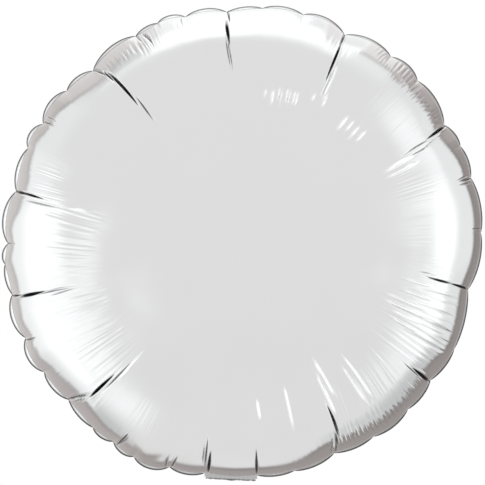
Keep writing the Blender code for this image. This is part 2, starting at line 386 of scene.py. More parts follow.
# The finishes. The film's streaks run like spokes, and the weld's pattern is a fine cross.
# CLOUD_RANGE is the part of a noise that makes its clouds
FOIL_COLOUR = (0.773, 0.773, 0.773)
# The colours of painted shade and of painted highlight, mixed in where a piece's attributes say
PAINTED_SHADE_COLOUR = (0.03, 0.03, 0.03)
PAINTED_HIGHLIGHT_COLOUR = (1.0, 1.0, 1.0)
WELD_COLOUR = (0.70, 0.695, 0.695)
FOIL_ROUGHNESS = 0.15
BACK_ROUGHNESS = 0.23
ROUGHNESS_SPREAD = 0.03
FOIL_GRAIN = 620.0
FOIL_CLOUD = 21.0
WELD_ROUGHNESS = 0.22
WELD_CLOUD = 260.0
SPOKES = 46.0
SPOKE_DRIFT = 14.0
SPOKE_REACH = (0.35, 0.95)
SPOKE_HEIGHT = 0.10 * MM
GRAIN_HEIGHT = 0.002 * MM
WELD_PITCH = 0.9 * MM
WELD_DEPTH = 0.03 * MM
CLEAR_COLOURS = ((0.84, 0.86, 0.88), (0.93, 0.94, 0.95))
CLEAR_ALPHAS = (0.38, 0.52)
CLEAR_ROUGHNESS = 0.22
CLEAR_CLOUD = 90.0
DRAW_MARKS = 500.0
DRAW_DEPTH = 0.02 * MM
FLOOR_COLOURS = ((0.86, 0.86, 0.86), (0.89, 0.89, 0.89))
FLOOR_ROUGHNESS = 0.8
FLOOR_CLOUD = 2.0
CLOUD_RANGE = (0.3, 0.7)

# The camera stands square in front. A photo pixel is this size on the rim's plane, and the
# balloon's centre is this far right of and below the middle of the frame, in pixels
IMAGE_SIDE = 485
PIXEL = (RIM_RADIUS + OUTLINE_RISE) / 240.0
CENTRE_RIGHT = -0.5
CENTRE_BELOW = 0.9
CAMERA_DISTANCE = 2.6
SENSOR = 36.0

# The studio. The room is pale all round, and soft lights and dark curtains stand round the
# balloon. Each covers a range of clock angles, and of angles from the camera's direction. A
# light's row holds its middle clock angle, half width and soft side, where it starts and how
# softly, where it ends and how softly, how unevenly it starts, and how bright it is. Later
# rows cover earlier ones, then come the curtains, and the top lights cover them all
ROOM = 0.855
LIGHTS = (
    ("pale_left_high", 288, 7, 4, 80, 18, 300, 1, 14, 1.00),
    ("pale_upper_left", 303, 9, 5, 92, 18, 300, 1, 8, 0.92),
    ("pale_top_left", 327, 9, 5, 96, 8, 108, 8, 4, 0.97),
    ("behind_top_left", 327, 10, 4, 110, 10, 300, 1, 0, 0.72),
    ("pale_top_right", 33, 8, 4, 98, 14, 300, 1, 4, 0.96),
    ("pale_upper_right", 55.5, 8, 13, 72, 16, 99, 24, 5, 1.12),
    ("behind_upper_right", 51, 11, 4, 104, 10, 300, 1, 0, 0.88),
    ("soft_right_high", 66, 8, 3, 86, 34, 102, 8, 14, 1.12),
    ("behind_right", 80, 22, 3, 104, 10, 300, 1, 0, 0.93),
    ("light_right", 88, 15, 5, 71, 36, 104, 12, 28, 1.27),
    ("light_right_low", 111, 10, 4, 67, 36, 109, 16, 34, 1.27),
    ("behind_right_low", 111, 10, 4, 115, 24, 300, 1, 0, 0.88),
    ("soft_low_right", 128, 8, 4, 72, 22, 98, 8, 18, 1.05),
    ("behind_low_right", 132, 12, 6, 104, 16, 300, 1, 0, 0.65),
    ("behind_low", 150, 7, 4, 106, 14, 300, 1, 0, 0.72),
    ("soft_low_left", 216, 7, 11, 70, 18, 98, 24, 7, 1.12),
    ("behind_low_left", 220, 7, 4, 112, 18, 300, 1, 0, 0.64),
    ("light_left", 254, 29.5, 3, 65, 42, 300, 1, 40, 1.27),
    ("behind_left", 254, 29.5, 3, 113, 26, 300, 1, 0, 1.04),
    ("behind_left_low", 233, 7, 8, 112, 24, 300, 1, 0, 0.90),
)
# The curtains hang one beside the other, between these clock angles. Their inner edge stands
# this far from the camera's direction at each clock angle, and they are this grey there. They
# are darker along that edge, and end behind the balloon. A tint is by red, green and blue
CURTAIN_SPAN = (27.0, 334.0)
CURTAIN_EDGES = (
    (38.8, 117), (39.4, 121), (43, 108), (46.8, 116), (47.3, 129), (52, 119), (60, 124), (74, 135),
    (116, 135), (127, 121), (135.3, 133), (135.7, 127), (145, 129), (155.8, 121), (156.2, 124),
    (168, 136), (194.8, 138), (195.2, 121), (207, 130), (211.8, 119), (212.2, 133), (228.5, 122),
    (237, 134), (245.8, 129), (246.2, 137), (257, 132), (270, 140), (283, 126), (294, 139),
    (311, 125), (321, 117), (334, 130),
)
CURTAIN_GREYS = (
    (38.8, 0.87), (39.2, 0.57), (47.6, 0.62), (48.1, 0.45), (59.8, 0.43), (60.2, 0.36), (74, 0.31),
    (88, 0.29), (101, 0.30), (116, 0.31), (127, 0.33), (156, 0.345), (190, 0.375), (198, 0.40),
    (207, 0.41), (212, 0.46), (219, 0.47), (228, 0.49), (237, 0.55), (246, 0.62), (257, 0.65),
    (283, 0.65), (301, 0.60), (310.8, 0.57), (311.2, 0.65), (321, 0.71), (334, 0.73),
)
CURTAIN_SOFT = 5.0
CURTAIN_SIDE = 1.2
CURTAIN_END = 169.0
CURTAIN_END_SOFT = 14.0
CURTAIN_TINT = (-0.03, 0.10, 0.14)
LIGHT_TINT = (0.985, 1.0, 1.005)
EDGE_WIDTH = 7.0
EDGE_DARKER = 0.78
TOP_LIGHTS = (
    ("light_top", 0.25, 26.25, 4, 100, 14, 300, 1, 5, 1.28),
    ("behind_top", 0.25, 26.25, 4, 150, 10, 300, 1, 0, 1.0),
    ("behind_top_high", 20.5, 6, 4, 128, 12, 300, 1, 0, 0.94),
    ("behind_top_low", 340, 6, 4, 125, 12, 300, 1, 0, 1.02),
)

# The lights' inner edges wander, by soft clouds and by fine leaning streaks
UNEVEN_SCALE = 3.6
STREAK_WIDTH = 1.9
STREAK_LEAN = 0.05
STREAK_SHARE = 1.5

# How bright the studio is as a whole, and the floor below the view
STUDIO = 1.1
FLOOR_DROP = 0.45
FLOOR_RADIUS = 3.0


def deselect_all():
    bpy.ops.object.select_all(action="DESELECT")


def select_only(thing):
    deselect_all()
    thing.select_set(True)
    bpy.context.view_layer.objects.active = thing


def smooth_step(value, low, high):
    t = np.clip((value - low) / (high - low), 0.0, 1.0)
    return t * t * (3.0 - 2.0 * t)


def both_ends(along, low, high):
    """The same smooth step from both ends of a stretch that runs from 0 to 1."""
    return smooth_step(along, low, high) * smooth_step(1.0 - along, low, high)


def fade(share, reach, power=FADE_POWER):
    """How much is left, at this share of the radius, of what dies out at its reach."""
    return np.clip((share - reach) / (1.0 - reach), 0.0, None) ** power


def angle_between(first, second):
    return (first - second + 180.0) % 360.0 - 180.0


def gas_profile(turns):
    """Radius and height as shares of the rim's radius, for an array of turns."""
    fine = np.linspace(0.0, math.pi / 2, PROFILE_SAMPLES)
    middle = (fine[1:] + fine[:-1]) / 2
    height = np.concatenate([[0.0], np.cumsum(np.sqrt(np.cos(middle)) * np.diff(fine))]) / 2
    angles = np.radians(turns)
    return np.sqrt(np.clip(np.cos(angles), 0.0, 1.0)), np.interp(angles, fine, height)


def lobe_at(clock):
    """Where each clock angle lies between two notches, their rows, and the lobe's arch."""
    after = np.searchsorted(NOTCHES[:, 0], clock, side="right")
    first = NOTCHES[(after - 1) % len(NOTCHES)]
    last = NOTCHES[after % len(NOTCHES)]
    width = (last[:, 0] - first[:, 0]) % 360.0
    along = ((clock - first[:, 0]) % 360.0) / width
    return along, first, last, (4 * along * (1 - along)) ** LOBE_POWER


def outline_offset(clock):
    """The outline's offset from its mean circle."""
    along, first, last, arch = lobe_at(clock)
    depth = first[:, 1] * (1 - along) + last[:, 1] * along
    middle_depth = (first[:, 1] + last[:, 1]) / 2
    return ((first[:, 2] + middle_depth) * arch - depth) * MM


def weld_shown(clock):
    """How far the weld shows beyond the film."""
    arch = lobe_at(clock)[3]
    return SHOWN_LEAST + arch * (SHOWN_MORE - SHOWN_SIDE * np.sin(np.radians(clock)))


def seam_radius(clock):
    return RIM_RADIUS + OUTLINE_RISE + outline_offset(clock) - weld_shown(clock)


def lobe_rise(clock, share):
    """How far the lobed film stands out from the plain inflated shape, along its normal."""
    swell = OUTLINE_RISE - SHOWN_MORE
    steps = np.linspace(-EVENED, EVENED, EVENED_STEPS)
    near = [seam_radius((clock + step) % 360.0) for step in steps]
    broad = np.average(near, axis=0, weights=np.cos(steps / EVENED * EVENED_TAPER))
    wave = (broad - RIM_RADIUS - swell) * fade(share, BROAD_REACH)
    dip = (seam_radius(clock) - broad) * fade(share, LOBE_REACH, LOBE_FADE)
    return swell * fade(share, SWELL_REACH) + wave + dip


def gathers():
    """The small gathers as folds, each a little off its place and size."""
    draw = np.random.default_rng(GATHER_SEED)
    folds = []
    for first, last, pitch, outer, inner, lean, depth, half_width in GATHERS:
        for clock in np.arange(first, last + 0.01, pitch):
            clock += draw.uniform(-0.15, 0.15) * pitch
            end = inner + draw.uniform(-0.3, 0.3) * (outer - inner)
            size = draw.uniform(0.6, 1.2)
            folds.append((clock, outer, clock + lean, end, 0.0, depth * size, half_width))
    return tuple(folds)


def fold_valley(clock, share, fold):
    """One sharp fold: its depth along the normal in metres, and the painted shade inside it."""
    outer_clock, outer_share, inner_clock, inner_share, bow, depth, half_width = fold
    along = (outer_share - share) / (outer_share - inner_share)
    inside = np.clip(along, 0.0, 1.0)
    centre = outer_clock + (inner_clock - outer_clock) * inside + bow * np.sin(math.pi * inside)
    if outer_share < 1.0:
        start = smooth_step(along, 0.0, OPENING)
    else:
        start = PINCHED + (1.0 - PINCHED) * smooth_step(along, 0.0, PINCH_LENGTH)
    taper = start * smooth_step(1.0 - along, 0.0, DYING_OUT)
    width = half_width * MM * (NARROWEST + (1.0 - NARROWEST) * taper)
    across = np.radians(angle_between(clock, centre)) * share * RIM_RADIUS / width
    valley = np.exp(-(np.abs(across) ** VALLEY_POWER))
    shoulder = SHOULDER * np.exp(-((np.abs(across) - SHOULDER_PLACE) ** 2))
    # Painted shade down the fold's core
    core = np.exp(-((across / DARK_CORE) ** 4))
    dark = smooth_step(taper, 0.0, DARK_START) * core * min(1.0, depth / DARK_DEPTH)
    return depth * MM * taper * (valley - shoulder), dark


def wrinkle_height(clock, share, zone, index):
    """A patch of fine radial wrinkles. Its waves are out of step, so that none repeats."""
    start, end, inner, outer, length, lean, height = zone
    width = (end - start) % 360.0
    along = ((clock - start) % 360.0) / width
    side = both_ends(along, 0.0, WRINKLE_SIDE) * (along <= 1.0)
    reach = smooth_step(share, inner, inner + WRINKLE_INNER * (outer - inner))
    reach = reach * smooth_step(outer - share, 0.0, WRINKLE_OUTER * (outer - inner))
    phase = 2 * math.pi * (clock + lean * (0.8 - share)) / length
    drift = 1.3 * np.sin(0.37 * phase + index) + 0.8 * np.sin(0.61 * phase + 2.1 * index)
    sway = 1.2 * np.sin(9.0 * share + 0.23 * phase + index)
    wave = 0.7 * np.sin(phase + drift + sway) + 0.3 * np.sin(1.73 * phase - drift + 3.0 * index)
    swell = 0.65 + 0.35 * np.sin(0.19 * phase + 1.7 * index)
    return height * MM * side * reach * wave * swell


def glint_mask(clock, share, glint_and_painted_highlight):
    """A short straight ridge with round ends, from 0 off it to 1 along its top."""
    outer_clock, outer_share, inner_clock, inner_share, width = glint_and_painted_highlight
    along = (outer_share - share) / (outer_share - inner_share)
    centre = outer_clock + (inner_clock - outer_clock) * np.clip(along, 0.0, 1.0)
    across = angle_between(clock, centre) / (width / 2)
    return np.exp(-(across**2)) * both_ends(along, *GLINT_ENDS)


def crowded_clocks(folds, wrinkles, glints):
    """Clock angles of the film's columns, close together wherever it is finely shaped."""
    fine = np.linspace(0.0, 360.0, CLOCK_SAMPLES)
    density = np.full_like(fine, PLAIN_DENSITY)
    for start, end, *_ in wrinkles:
        inside = ((fine - start) % 360.0) <= (end - start) % 360.0
        density[inside] = WRINKLE_DENSITY
    spans = [(row[0], row[2], row[4] / 2, RIDGE_DENSITY) for row in glints]
    for outer, _, inner, _, _, depth, _ in folds:
        dense = GATHER_DENSITY if depth < DEEP_FOLD else FOLD_DENSITY
        spans.append((outer, inner, FOLD_MARGIN, dense))
    for outer, inner, margin, dense in spans:
        lean = angle_between(inner, outer) / 2
        bump = np.exp(-((angle_between(fine, outer + lean) / (abs(lean) + margin)) ** 6))
        density = np.maximum(density, dense * bump)
    total = np.concatenate([[0.0], np.cumsum((density[1:] + density[:-1]) / 2 * np.diff(fine))])
    columns = int(total[-1])
    return np.interp(np.arange(columns) * total[-1] / columns, total, fine)


def add_ringed_disc(name, rings, columns):
    """A flat disc: a circle extruded inwards ring by ring, and closed at its middle."""
    deselect_all()
    bpy.ops.mesh.primitive_circle_add(vertices=columns, radius=RIM_RADIUS, fill_type="NOTHING")
    disc = bpy.context.object
    disc.name = name
    bpy.ops.object.mode_set(mode="EDIT")
    bpy.ops.mesh.select_all(action="SELECT")
    for ring in range(1, rings):
        bpy.ops.mesh.extrude_edges_move()
        shrink = (rings - ring) / (rings - ring + 1)
        bpy.ops.transform.resize(value=(shrink, shrink, 1.0))
    bpy.ops.mesh.extrude_edges_move()
    bpy.ops.mesh.merge(type="CENTER")
    bpy.ops.object.mode_set(mode="OBJECT")
    return disc


def read_points(thing):
    points = np.empty(len(thing.data.vertices) * 3, np.float32)
    thing.data.vertices.foreach_get("co", points)
    return points.reshape(-1, 3).astype(float)


def write_points(thing, points):
    thing.data.vertices.foreach_set("co", points.astype(np.float32).ravel())
    thing.data.update()


def set_attribute(thing, name, values):
    attribute = thing.data.attributes.new(name, "FLOAT", "POINT")
    attribute.data.foreach_set("value", values.astype(np.float32).ravel())


def face_outwards(thing):
    """Recalculates the normals, and turns them all if they point at the balloon's centre."""
    select_only(thing)
    bpy.ops.object.mode_set(mode="EDIT")
    bpy.ops.mesh.select_all(action="SELECT")
    bpy.ops.mesh.normals_make_consistent(inside=False)
    bpy.ops.object.mode_set(mode="OBJECT")
    faces = thing.data.polygons
    if sum(face.area * face.center.dot(face.normal) for face in faces) < 0:
        bpy.ops.object.mode_set(mode="EDIT")
        bpy.ops.mesh.flip_normals()
        bpy.ops.object.mode_set(mode="OBJECT")


def dress(thing, material, body, slot, *nodes):
    """Shades a piece smooth, gives it its material, and says what it rides on and replaces."""
    select_only(thing)
    bpy.ops.object.shade_smooth()
    thing.data.materials.clear()
    thing.data.materials.append(material)
    if body:
        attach(thing, body)
    if nodes:
        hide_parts(*nodes)


def make_film(name, side, folds, wrinkles, glints):
    """One disc of film with its round at the weld. side is -1 in front and 1 behind."""
    clock = crowded_clocks(folds, wrinkles, glints)
    share, height = gas_profile(RING_TURNS)
    rise = np.array([lobe_rise(clock, one) for one in share])
    rows = share[:, None]
    columns = clock[None, :]
    painted_shade = np.zeros_like(rise)
    glint_and_painted_highlight = np.zeros_like(rise)
    # Folds sink the film and paint shade into their cores
    for fold in folds:
        valley, dark = fold_valley(columns, rows, fold)
        rise -= valley
        painted_shade = np.maximum(painted_shade, dark)
    for index, zone in enumerate(wrinkles):
        rise += wrinkle_height(columns, rows, zone, index)
    # Ridges raise the film and paint a highlight along their tops
    for ridge in glints:
        mask = glint_mask(columns, rows, ridge)
        rise += GLINT_HEIGHT * mask
        glint_and_painted_highlight = np.maximum(glint_and_painted_highlight, mask)
    turn = np.radians(RING_TURNS)[:, None]
    radius = RIM_RADIUS * rows + rise * np.cos(turn)
    lift = FILM_HALF + FILLET + RIM_RADIUS * height[:, None] + rise * np.sin(turn)
    for angle in FILLET_ANGLES:
        out = FILLET * (1 - math.cos(math.radians(angle)))
        down = FILLET * math.sin(math.radians(angle))
        radius = np.vstack([radius[-len(share)] + out, radius])
        lift = np.vstack([lift[-len(share)] - down, lift])
        # The round at the weld gets at least the seam's painted shade
        painted_shade = np.vstack([np.maximum(painted_shade[:1], SEAM_SHADE), painted_shade])
        glint_and_painted_highlight = np.vstack([glint_and_painted_highlight[:1], glint_and_painted_highlight])
    angles = np.radians(clock)[None, :]
    grid = np.stack([radius * np.sin(angles), side * lift, radius * np.cos(angles)], axis=-1)
    pole = np.array([0.0, side * (FILM_HALF + FILLET + RIM_RADIUS * gas_profile(90.0)[1]), 0.0])

    rings = len(radius)
    film = add_ringed_disc(name, rings, len(clock))
    flat = read_points(film)
    distance = np.hypot(flat[:, 0], flat[:, 1])
    ring = np.round((1 - distance / RIM_RADIUS) * rings).astype(int)
    column = np.round(np.arctan2(flat[:, 0], flat[:, 1]) / (2 * math.pi) * len(clock)).astype(int)
    column %= len(clock)
    at_pole = ring >= rings
    ring = np.minimum(ring, rings - 1)
    points = grid[ring, column]
    points[at_pole] = pole
    write_points(film, points)
    set_attribute(film, "painted_shade", np.where(at_pole, 0.0, painted_shade[ring, column]))
    set_attribute(film, "glint_and_painted_highlight", np.where(at_pole, 0.0, glint_and_painted_highlight[ring, column]))
    face_outwards(film)
    return film


def back_shapes():
    """Folds and wrinkles of the back film: the same notches, with creases of its own."""
    draw = np.random.default_rng(BACK_SEED)
    folds = []
    wrinkles = []
    glints = []
    for index, (clock, depth, _, reach) in enumerate(NOTCHES):
        lean = draw.uniform(-1.6, 1.6)
        bow = draw.uniform(-0.4, 0.4)
        if reach < MAIN_REACH:
            middle = draw.uniform(0.88, 0.93)
            inner = reach + draw.uniform(0.06, 0.14)
            folds.append((clock, 1.0, clock + 0.3 * lean, middle - 0.01, 0.0, 4.0, 0.7))
            folds.append((clock + 0.3 * lean, middle, clock + lean, inner, bow, 4.8, 0.85))
            side = clock + lean + draw.uniform(0.8, 1.3)
            folds.append((side, middle - 0.08, side + 0.3 * lean, inner - 0.08, bow, 1.3, 0.55))
        elif depth > SHORT_NOTCH:
            inner = draw.uniform(0.91, 0.95)
            folds.append((clock, 1.0, clock + 0.3 * lean, inner, 0.0, 2.0, 0.6))
        after = NOTCHES[(index + 1) % len(NOTCHES)][0]
        if draw.uniform() < WRINKLED:
            inner = draw.uniform(0.60, 0.74)
            outer = inner + draw.uniform(0.2, 0.3)
            length = draw.uniform(1.4, 2.1)
            lean = draw.uniform(-8.0, 8.0)
            height = draw.uniform(0.05, 0.16)
            wrinkles.append((clock, after, inner, outer, length, lean, height))
    for clock in np.sort(draw.uniform(0.0, 360.0, BACK_GLINTS)):
        outer = draw.uniform(0.64, 0.80)
        lean = draw.uniform(-0.8, 0.8)
        inner = outer - draw.uniform(0.04, 0.14)
        glints.append((clock, outer, clock + lean, inner, draw.uniform(0.4, 0.6)))
    return folds, wrinkles, glints


def add_grid(name, columns, rows):
    """A flat grid from 0 to 1, and its points' places along its columns and its rows."""
    deselect_all()
    bpy.ops.mesh.primitive_grid_add(
        x_subdivisions=columns, y_subdivisions=rows, size=1.0, location=(0.5, 0.5, 0.0)
    )
    grid = bpy.context.object
    grid.name = name
    bpy.ops.object.transform_apply(location=True, rotation=True, scale=True)
    return grid, *read_points(grid).T[:2]


def give_thickness(thing, thickness):
    select_only(thing)
    modifier = thing.modifiers.new("film", "SOLIDIFY")
    modifier.thickness = thickness
    modifier.offset = 0.0
    modifier.use_even_offset = False
    bpy.ops.object.modifier_apply(modifier=modifier.name)


def band_shades(clock, radius):
    """The band's painted dark edge reflection, painted seam shade and painted highlight between.
    """
    angle = np.radians(clock)
    from_seam = radius - seam_radius(clock)
    from_edge = weld_shown(clock) - from_seam
    edge_line = EDGE_LINE * (1 + EDGE_SIDE * np.cos(angle - math.radians(EDGE_WIDEST)))
    edge = EDGE_SHADE * smooth_step(from_edge / edge_line, 1.0, 0.3)
    off = np.abs(angle_between(clock, SEAM_CLOCK))
    strong = smooth_step(off, SEAM_HALF + SEAM_SOFT, SEAM_HALF - SEAM_SOFT)
    seam_line = SEAM_LINE * (1 + strong)
    seam = (SEAM_SHADE + SEAM_DARKER * strong) * smooth_step(from_seam, seam_line, 0.0)
    side = 0.5 + 0.5 * np.cos(angle - math.radians(PALE_MIDDLE))
    strip = smooth_step(from_edge, edge_line, edge_line + PALE_OUTER)
    strip = strip * smooth_step(from_seam, 0.3 * seam_line, seam_line + PALE_INNER)
    return np.maximum(edge, seam), PAINTED_HIGHLIGHT_STRENGTH * side * strip * lobe_at(clock)[3]


# Even painted shade over the throat, and no painted highlight
def throat_shades(clock, _):
    return np.full_like(clock, THROAT_SHADE), np.zeros_like(clock)


def make_weld(name, start, end, columns, section, shades):
    """A stretch of the weld between two clock angles, with its own section and shades."""
    grid, right, up = add_grid(name, columns, WELD_ROWS)
    clock = (start + np.clip(right, 0.0, 1.0) * ((end - start) % 360.0)) % 360.0
    row = np.round(up * WELD_ROWS)
    along = (row - 1) / (WELD_ROWS - 1)
    radius, back = section(clock, along)
    radius = np.where(row < 1, seam_radius(clock) - UNDER_FILM, radius)
    back = np.where(row < 1, 0.0, back)
    angle = np.radians(clock)
    write_points(grid, np.stack([radius * np.sin(angle), back, radius * np.cos(angle)], axis=-1))
    # Painted shade and painted highlight for the piece's colour
    dark, painted_highlight = shades(clock, radius)
    set_attribute(grid, "painted_shade", dark)
    set_attribute(grid, "glint_and_painted_highlight", painted_highlight)
    give_thickness(grid, 2 * FILM_HALF)
    face_outwards(grid)
    return grid


def leaning_section(clock, along):
    """The weld's radius and depth: it shows a little past the film and leans back behind."""
    arch = lobe_at(clock)[3]
    shown = weld_shown(clock)
    width = WIDTH_AT_NOTCH + (WELD_WIDTH - WIDTH_AT_NOTCH) * arch
    lean = np.degrees(np.arccos(np.clip(shown / width, 0.1, 1.0)))
    steps = np.linspace(0.0, 1.0, SECTION_STEPS)[:, None]
    tilt = np.radians(np.clip(lean[None, :] + WELD_CURL * (steps - 0.5), 0.0, WELD_LEAN_MOST))
    out = np.cumsum(np.cos(tilt), axis=0) - np.cos(tilt[:1])
    back = np.cumsum(np.sin(tilt), axis=0) - np.sin(tilt[:1])
    place = np.clip(along, 0.0, 1.0) * (len(steps) - 1)
    low = np.minimum(place.astype(int), len(steps) - 2)
    part = place - low
    column = np.arange(len(clock))
    out_here = out[low, column] * (1 - part) + out[low + 1, column] * part
    back_here = back[low, column] * (1 - part) + back[low + 1, column] * part
    scale = shown / out[-1]
    ripple = WELD_RIPPLE * np.sin(np.radians(clock) * WELD_RIPPLES + 3.0 * np.sin(clock)) * along
    return seam_radius(clock) + out_here * scale, back_here * scale + ripple * arch


def gather_wave(across):
    """The small uneven gathers across the throat and the fold."""
    return np.sin(across / GATHER_PITCH + 2.0 * np.sin(across / GATHER_DRIFT))


def throat_section(clock, along):
    """The open way into the tail: flat, down to a straight edge along the fold."""
    edge = (FOLD_DROP - FOLD_CLEAR) / np.cos(np.radians(clock - TAIL_CLOCK))
    seam = seam_radius(clock)
    across = np.radians(clock - TAIL_CLOCK) * RIM_RADIUS
    gather = gather_wave(across) * np.sin(math.pi * along)
    return seam + np.clip(along, 0.0, 1.0) * (edge - seam), GATHER_HEIGHT * gather


def tail_turn(size):
    """The turn from straight down to the tail's clock angle, as a matrix of this size."""
    return Matrix.Rotation(math.radians(TAIL_CLOCK - 180), size, "Y")


def tail_half(station):
    """Half the tail's width: it narrows from its root and flares a little at its mouth."""
    taper = np.clip(station / TAPER_LENGTH, 0.0, 1.0)
    flare = np.clip((station - TAIL_LENGTH + FLARE_LENGTH) / FLARE_LENGTH, 0.0, None)
    root = (ROOT_HALF - NECK_HALF) * (1 + np.cos(math.pi * taper)) / 2
    return NECK_HALF + root + FLARE * flare**2


def tail_flutter(across, station):
    """How far the whole tail waves out of its plane, more and more towards its mouth."""
    free = smooth_step(station, 4 * MM, TAIL_LENGTH)
    twist = TWIST_HEIGHT * across / NECK_HALF * np.sin(station / TWIST_LENGTH)
    wave = WAVE_HEIGHT * np.sin(station / WAVE_LENGTH + 0.4) + twist
    edge = EDGE_WAVE_HEIGHT * np.sin(station / EDGE_WAVE_LENGTH + 2.0 * np.sign(across))
    edge = edge * np.abs(across / NECK_HALF) ** 3
    return (wave + edge) * MM * free


def tail_station(along, uneven):
    """Stations from the tail's start to its mouth, which is cut a little unevenly."""
    return TAIL_START + along * (TAIL_LENGTH + uneven - TAIL_START)


def place_tail_film(thing, across, station, height):
    """Puts a film of the tail, laid out from its fold to its mouth, where it hangs at rest."""
    points = np.stack([across, height + tail_flutter(across, station), -station], axis=-1)
    drop = Matrix.Translation((0, 0, -FOLD_DROP))
    fold_back = Matrix.Rotation(math.radians(FOLDED_BACK), 4, "X")
    matrix = np.array(tail_turn(4) @ drop @ fold_back)
    write_points(thing, points @ matrix[:3, :3].T + matrix[:3, 3])


def make_ply(name, side, seed):
    """The tail's front or back film, puffed a little between its side welds."""
    grid, right, along = add_grid(name, 60, 90)
    spread = right * 2 - 1
    station = tail_station(along, 0.5 * MM * np.sin(4.0 * spread + seed))
    across = spread * (tail_half(station) - SIDE_WELD + 0.2 * MM)
    open_here = 0.5 + 0.5 * smooth_step(station, 0.0, MOUTH_LENGTH)
    gape = MOUTH_GAPE * smooth_step(station, TAIL_LENGTH - MOUTH_LENGTH, TAIL_LENGTH)
    puff = (PLY_PUFF + gape) * open_here * (1 - spread**2) ** 0.4
    pleats = PLEAT_HEIGHT * np.sin(9.0 * spread + seed + 0.8 * np.sin(station / (5 * MM)))
    pleats = pleats * np.exp(-station / PLEAT_LENGTH) * (1 - spread**2)
    dents = DENT_HEIGHT * np.sin(station / (3.1 * MM) + 5.0 * spread * side + seed)
    dents = dents * np.sin(station / (7.3 * MM) + seed) * (1 - spread**2)
    height = side * (0.12 + puff + pleats + dents) * MM
    place_tail_film(grid, across, station, height)
    give_thickness(grid, PLY_THICKNESS)
    return grid


def make_tail_seam(name, side):
    """The strip at the tail's side where its two films are welded together."""
    grid, right, along = add_grid(name, 10, 120)
    station = tail_station(along, 0.3 * MM * np.sin(6.0 * right + side))
    across = side * (tail_half(station) - SIDE_WELD * (1 - right))
    place_tail_film(grid, across, station, np.zeros_like(station))
    give_thickness(grid, SEAM_THICKNESS)
    return grid


def make_valve(name):
    """The valve: a flattened tube of clear film between the tail's two films."""
    deselect_all()
    bpy.ops.mesh.primitive_circle_add(vertices=SLEEVE_SIDES, radius=1.0, fill_type="NOTHING")
    tube = bpy.context.object
    tube.name = name
    bpy.ops.object.mode_set(mode="EDIT")
    bpy.ops.mesh.select_all(action="SELECT")
    for _ in range(SLEEVE_RINGS):
        bpy.ops.mesh.extrude_edges_move(TRANSFORM_OT_translate={"value": (0.0, 0.0, 1.0)})
    bpy.ops.object.mode_set(mode="OBJECT")
    flat = read_points(tube)
    angle = np.arctan2(flat[:, 1], flat[:, 0])
    station = SLEEVE_START + (SLEEVE_END - SLEEVE_START) * flat[:, 2] / SLEEVE_RINGS
    across = SLEEVE_HALF * np.cos(angle)
    mouth = 0.35 * smooth_step(station, SLEEVE_END - 8 * MM, SLEEVE_END)
    crinkle = 0.05 * MM * np.sin(station / (4 * MM) + 3 * angle)
    height = (0.28 + mouth) * MM * np.sin(angle) + crinkle
    place_tail_film(tube, across, station, height)
    give_thickness(tube, SLEEVE_THICKNESS)
    return tube


def make_fold(name):
    """The doubled film that bends from the throat into the tail."""
    grid, right, along = add_grid(name, 60, 30)
    bend = math.radians(FOLDED_BACK)
    lengths = np.array([FOLD_LEAD - FOLD_BEND, FOLD_BEND * bend, FOLD_LEAD])
    travel = along * lengths.sum()
    first = np.minimum(travel, lengths[0])
    turned = np.clip((travel - lengths[0]) / FOLD_BEND, 0.0, bend)
    last = np.clip(travel - lengths[0] - lengths[1], 0.0, None)
    back = FOLD_BEND * (1 - np.cos(turned)) + last * math.sin(bend)
    up = FOLD_LEAD - first - FOLD_BEND * np.sin(turned) - last * math.cos(bend)
    across = (right * 2 - 1) * (ROOT_HALF - 0.3 * MM)
    gather = gather_wave(across)
    free = np.sin(math.pi * along)
    ripple = GATHER_HEIGHT * gather * free
    back -= ripple * np.cos(turned)
    up -= ripple * np.sin(turned)
    points = np.stack([across, back, up - FOLD_DROP], axis=-1)
    write_points(grid, points @ np.array(tail_turn(3)).T)
    # Painted shade: a base amount, more round the bend, and more or less with the gathers
    bent = BEND_SHADE * smooth_step(along, 0.15, 0.5)
    set_attribute(grid, "painted_shade", THROAT_SHADE + bent + GATHER_SHADE * gather * free)
    give_thickness(grid, FOLD_THICKNESS)
    return grid


def link(source, target):
    source.id_data.links.new(source, target)


def node_after(source, kind):
    """A new node in the tree of the socket that it will read."""
    return source.id_data.nodes.new(kind)


def math_node(operation, *values):
    node = node_after(values[0], "ShaderNodeMath")
    node.operation = operation
    for socket, value in zip(node.inputs, values):
        if isinstance(value, (int, float)):
            socket.default_value = value
        else:
            link(value, socket)
    return node.outputs[0]


def times(first, last):
    return math_node("MULTIPLY", first, last)


def step_node(value, low, high, first, last):
    """A smooth step of a value from low to high, which goes from first to last."""
    node = node_after(value, "ShaderNodeMapRange")
    node.interpolation_type = "SMOOTHSTEP"
    link(value, node.inputs["Value"])
    ends = {"From Min": low, "From Max": high, "To Min": first, "To Max": last}
    for name, number in ends.items():
        node.inputs[name].default_value = number
    return node.outputs["Result"]


def soft_edge(value, middle, soft, first, last):
    """A smooth step round a middle, as wide as it is soft."""
    return step_node(value, middle - soft / 2, middle + soft / 2, first, last)


def mix_colours(factor, first, last):
    """A colour between two, each a socket or a colour of its own."""
    node = node_after(factor, "ShaderNodeMix")
    node.data_type = "RGBA"
    link(factor, node.inputs["Factor"])
    for name, value in (("A", first), ("B", last)):
        socket = [one for one in node.inputs if one.name == name and one.type == "RGBA"][0]
        if isinstance(value, tuple):
            socket.default_value = (*value, 1.0)
        else:
            link(value, socket)
    return [one for one in node.outputs if one.type == "RGBA"][0]


